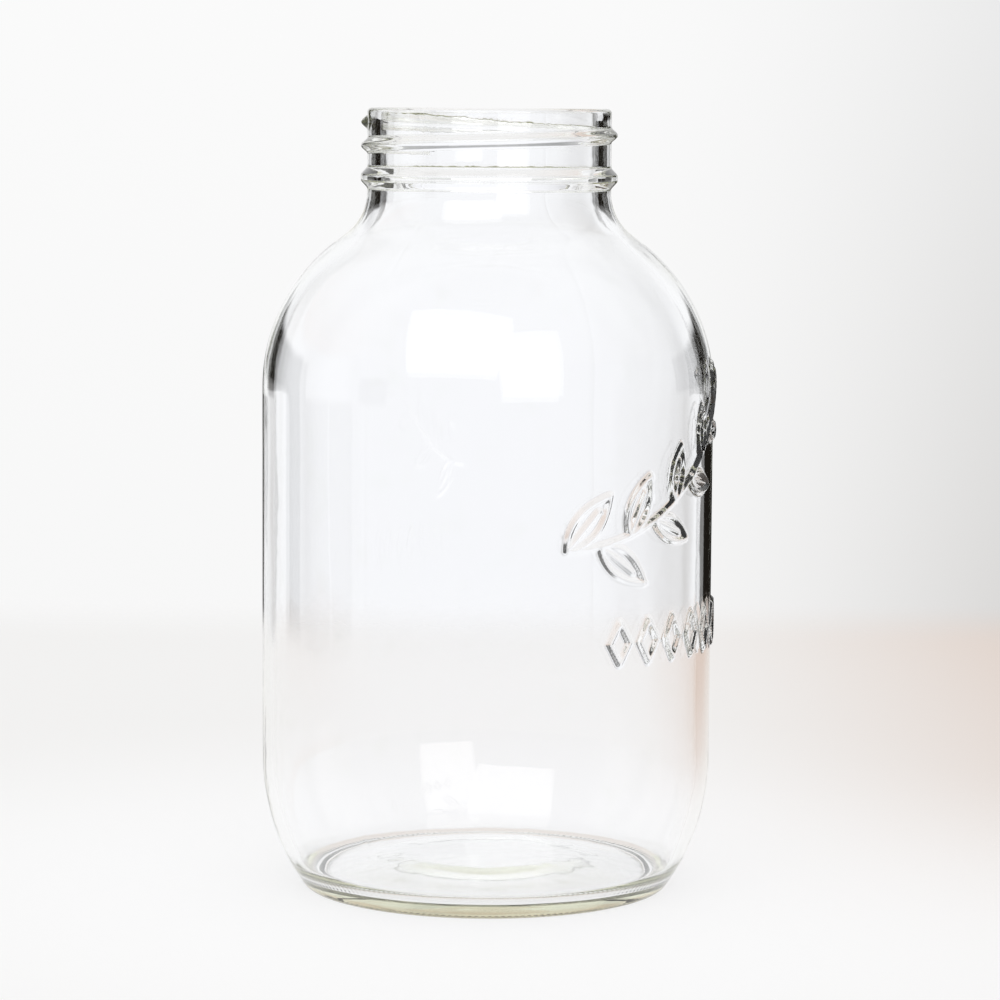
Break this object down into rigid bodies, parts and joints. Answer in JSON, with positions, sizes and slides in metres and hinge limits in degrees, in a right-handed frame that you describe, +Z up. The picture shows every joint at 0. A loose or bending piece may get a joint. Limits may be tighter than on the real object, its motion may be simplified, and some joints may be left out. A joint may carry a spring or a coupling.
{
  "type": "canning jar",
  "caption": "Tall round canning jar of clear moulded glass: domed shoulder, screw-thread neck with a ring bead, open mouth and a pushed-up base.",
  "frame": {"origin": "centre of the base, on the plane that the resting ring stands on", "axes": "+Z up along the jar's axis; -Y is the front, from which the start of the screw thread is at the left, on -X"},
  "size_m": [0.1234, 0.1232, 0.2134],
  "materials": {
    "clear_glass": "clear pressed-and-blown glass with a faint olive cast where it is thick"
  },
  "bodies": {
    "root": {"glass_jar": "clear_glass"}
  },
  "joints": []
}
